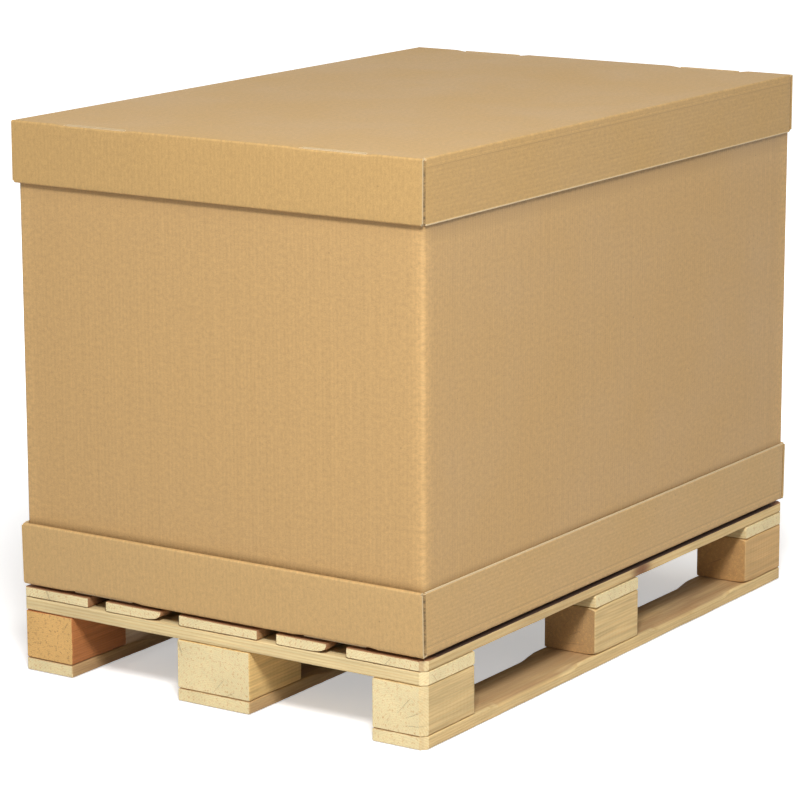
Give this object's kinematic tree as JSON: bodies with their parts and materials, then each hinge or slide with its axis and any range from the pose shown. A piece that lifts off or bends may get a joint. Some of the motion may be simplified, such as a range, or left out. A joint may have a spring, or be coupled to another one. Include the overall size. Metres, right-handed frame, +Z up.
{
  "type": "pallet collar container",
  "caption": "Corrugated-board pallet container: a tall glued sleeve standing in a folded base tray under a matching lift-off lid, on a four-way wooden pallet.",
  "frame": {"origin": "on the floor, under the middle of the pallet", "axes": "+X along the pallet's long side, +Y along its short side, +Z up"},
  "size_m": [1.2108, 0.8, 0.9286],
  "materials": {
    "cover_board": "plain kraft board, matt",
    "sleeve_board": "plain kraft board, matt",
    "deck_timber": "rough-sawn softwood",
    "block_timber": "rough-sawn softwood",
    "runner_timber": "rough-sawn softwood"
  },
  "bodies": {
    "root": {"lid": "cover_board", "sleeve": "sleeve_board", "base_tray": "cover_board", "deck_board_1": "deck_timber", "deck_board_2": "deck_timber", "deck_board_3": "deck_timber", "deck_board_4": "deck_timber", "deck_board_5": "deck_timber", "cross_board_1": "deck_timber", "cross_board_2": "deck_timber", "cross_board_3": "deck_timber", "block_1_1": "block_timber", "block_1_2": "block_timber", "block_1_3": "block_timber", "block_2_1": "block_timber", "block_2_2": "block_timber", "block_2_3": "block_timber", "block_3_1": "block_timber", "block_3_2": "block_timber", "block_3_3": "block_timber", "bottom_board_1": "runner_timber", "bottom_board_2": "runner_timber", "bottom_board_3": "runner_timber"}
  },
  "joints": []
}
